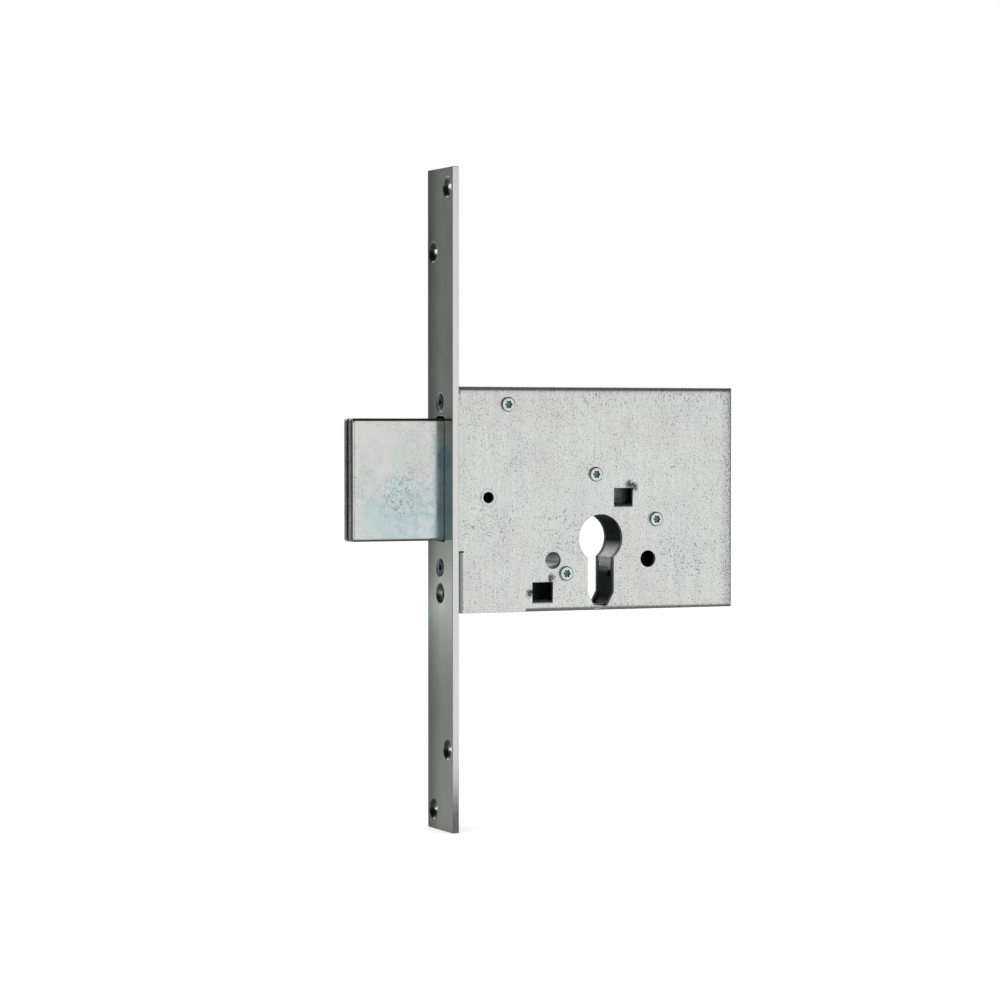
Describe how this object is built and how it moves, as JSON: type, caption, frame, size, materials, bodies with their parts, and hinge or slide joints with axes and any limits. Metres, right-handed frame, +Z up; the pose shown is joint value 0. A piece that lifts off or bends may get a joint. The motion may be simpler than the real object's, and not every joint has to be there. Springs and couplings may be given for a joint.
{
  "type": "mortise deadlock",
  "caption": "Mortise deadlock: long flat forend, square laminated bolt thrown by a slotted ring gear and rack, and a folded sheet case pierced for a profile cylinder.",
  "frame": {"origin": "on the forend's front face, in the middle of the lock's thickness, level with the profile cylinder's axis", "axes": "+X goes from the forend's front face into the door, +Y goes from the screwed face to the cover plate, +Z is up along the forend"},
  "size_m": [0.1494, 0.022, 0.235],
  "materials": {
    "zinc_sheet": "zinc plated sheet, satin",
    "zinc_forend": "zinc plated and brushed, semi-gloss",
    "zinc_bolt": "zinc plated over ground steel, semi-gloss",
    "blue_zinc": "bright blue zinc",
    "black_ring": "black, semi-gloss",
    "sintered_steel": "sintered steel, oiled",
    "turned_steel": "turned steel, bright",
    "spring_steel": "blued spring steel"
  },
  "bodies": {
    "case": {"forend_plate": "zinc_forend", "case_body": "zinc_sheet", "cover_plate": "zinc_sheet", "front_pillar": "turned_steel", "lower_pillar": "turned_steel", "upper_idler_pillar": "turned_steel", "rear_idler_pillar": "turned_steel", "case_screw_1": "blue_zinc", "case_screw_2": "blue_zinc", "case_screw_3": "blue_zinc", "case_screw_4": "blue_zinc", "upper_forend_screw": "blue_zinc", "lower_forend_screw": "blue_zinc", "rose_bush": "turned_steel", "passage_guide_left": "black_ring", "passage_guide_right": "black_ring", "bolt_guide_near": "turned_steel", "bolt_guide_far": "turned_steel", "guide_stud": "turned_steel", "guide_stud_clip": "spring_steel", "drag_spring": "spring_steel", "ring_bearing_near": "turned_steel", "ring_bearing_far": "turned_steel", "upper_idler_washer": "turned_steel", "rear_idler_washer": "turned_steel", "transfer_axle": "turned_steel", "transfer_clip": "spring_steel"},
    "bolt": {"bolt_plate_near": "zinc_bolt", "bolt_plate_middle": "zinc_bolt", "bolt_plate_far": "zinc_bolt", "bolt_rivet_1": "turned_steel", "bolt_rivet_2": "turned_steel", "bolt_rivet_3": "turned_steel", "bolt_rivet_4": "turned_steel"},
    "driver_ring": {"driver_ring": "black_ring"},
    "upper_idler": {"upper_idler_gear": "sintered_steel"},
    "rear_idler": {"rear_idler_gear": "sintered_steel"},
    "transfer": {"transfer_wheel": "sintered_steel", "rack_pinion": "sintered_steel"}
  },
  "joints": [
    {"name": "bolt_slide", "type": "slide", "parent": "case", "child": "bolt", "axis": [1, 0, 0], "range_m": [0, 0.035]},
    {"name": "ring_turn", "type": "hinge", "parent": "case", "child": "driver_ring", "pos_m": [0.06, 0, 0], "axis": [0, 1, 0], "range_deg": [0, 720]},
    {"name": "upper_idler_turn", "type": "hinge", "parent": "case", "child": "upper_idler", "pos_m": [0.05785, 0, 0.02315], "axis": [0, 1, 0], "range_deg": [-997, 0]},
    {"name": "rear_idler_turn", "type": "hinge", "parent": "case", "child": "rear_idler", "pos_m": [0.08226, 0, 0.00672], "axis": [0, 1, 0], "range_deg": [-997, 0]},
    {"name": "transfer_turn", "type": "hinge", "parent": "case", "child": "transfer", "pos_m": [0.07481, 0, 0.022], "axis": [0, 1, 0], "range_deg": [0, 359]}
  ],
  "couplings": [
    {"joint": "ring_turn", "follows": "bolt_slide", "rad_per_m": 359.04},
    {"joint": "upper_idler_turn", "follows": "bolt_slide", "rad_per_m": -497.13},
    {"joint": "rear_idler_turn", "follows": "bolt_slide", "rad_per_m": -497.13},
    {"joint": "transfer_turn", "follows": "bolt_slide", "rad_per_m": 178.97}
  ]
}
